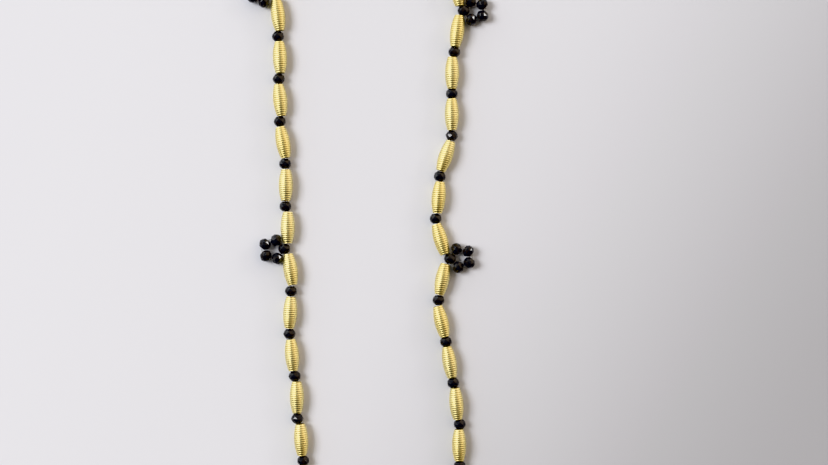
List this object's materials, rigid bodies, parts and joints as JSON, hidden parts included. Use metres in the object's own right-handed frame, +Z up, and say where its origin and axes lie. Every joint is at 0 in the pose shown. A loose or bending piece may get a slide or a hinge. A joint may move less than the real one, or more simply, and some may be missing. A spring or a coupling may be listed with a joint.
{
  "type": "bead necklace",
  "caption": "Long necklace of barrel beads wound from gold wire, with faceted black crystals between them and crystal flowers along the loop, lying flat and closed by a plain clasp.",
  "frame": {"origin": "On the surface that the necklace lies on, under the middle of its outline.", "axes": "+Z up from the surface, +Y along the loop's length towards the clasp, +X across it to the right in the picture."},
  "size_m": [0.0775, 0.2606, 0.0045],
  "materials": {
    "gold_wire": "pale gold plated wire, bright on the crown of each turn and darker between the turns",
    "black_crystal": "opaque jet black cut glass, mirror bright facets with sharp edges",
    "nylon_thread": "clear nylon thread",
    "clasp_gold": "polished pale gold plate"
  },
  "bodies": {
    "root": {"clasp": "clasp_gold", "crystal_strand_1": "black_crystal", "crystal_strand_2": "black_crystal", "crystal_strand_3": "black_crystal", "crystal_strand_4": "black_crystal", "crystal_strand_5": "black_crystal", "crystal_strand_6": "black_crystal", "crystal_strand_7": "black_crystal", "flower_1": "black_crystal", "flower_2": "black_crystal", "flower_3": "black_crystal", "flower_4": "black_crystal", "flower_5": "black_crystal", "flower_6": "black_crystal", "gold_bead_01": "gold_wire", "gold_bead_02": "gold_wire", "gold_bead_03": "gold_wire", "gold_bead_04": "gold_wire", "gold_bead_05": "gold_wire", "gold_bead_06": "gold_wire", "gold_bead_07": "gold_wire", "gold_bead_08": "gold_wire", "gold_bead_09": "gold_wire", "gold_bead_10": "gold_wire", "gold_bead_11": "gold_wire", "gold_bead_12": "gold_wire", "gold_bead_13": "gold_wire", "gold_bead_14": "gold_wire", "gold_bead_15": "gold_wire", "gold_bead_16": "gold_wire", "gold_bead_17": "gold_wire", "gold_bead_18": "gold_wire", "gold_bead_19": "gold_wire", "gold_bead_20": "gold_wire", "gold_bead_21": "gold_wire", "gold_bead_22": "gold_wire", "gold_bead_23": "gold_wire", "gold_bead_24": "gold_wire", "gold_bead_25": "gold_wire", "gold_bead_26": "gold_wire", "gold_bead_27": "gold_wire", "gold_bead_28": "gold_wire", "gold_bead_29": "gold_wire", "gold_bead_30": "gold_wire", "gold_bead_31": "gold_wire", "gold_bead_32": "gold_wire", "gold_bead_33": "gold_wire", "gold_bead_34": "gold_wire", "gold_bead_35": "gold_wire", "gold_bead_36": "gold_wire", "gold_bead_37": "gold_wire", "gold_bead_38": "gold_wire", "gold_bead_39": "gold_wire", "gold_bead_40": "gold_wire", "gold_bead_41": "gold_wire", "gold_bead_42": "gold_wire"}
  },
  "joints": []
}
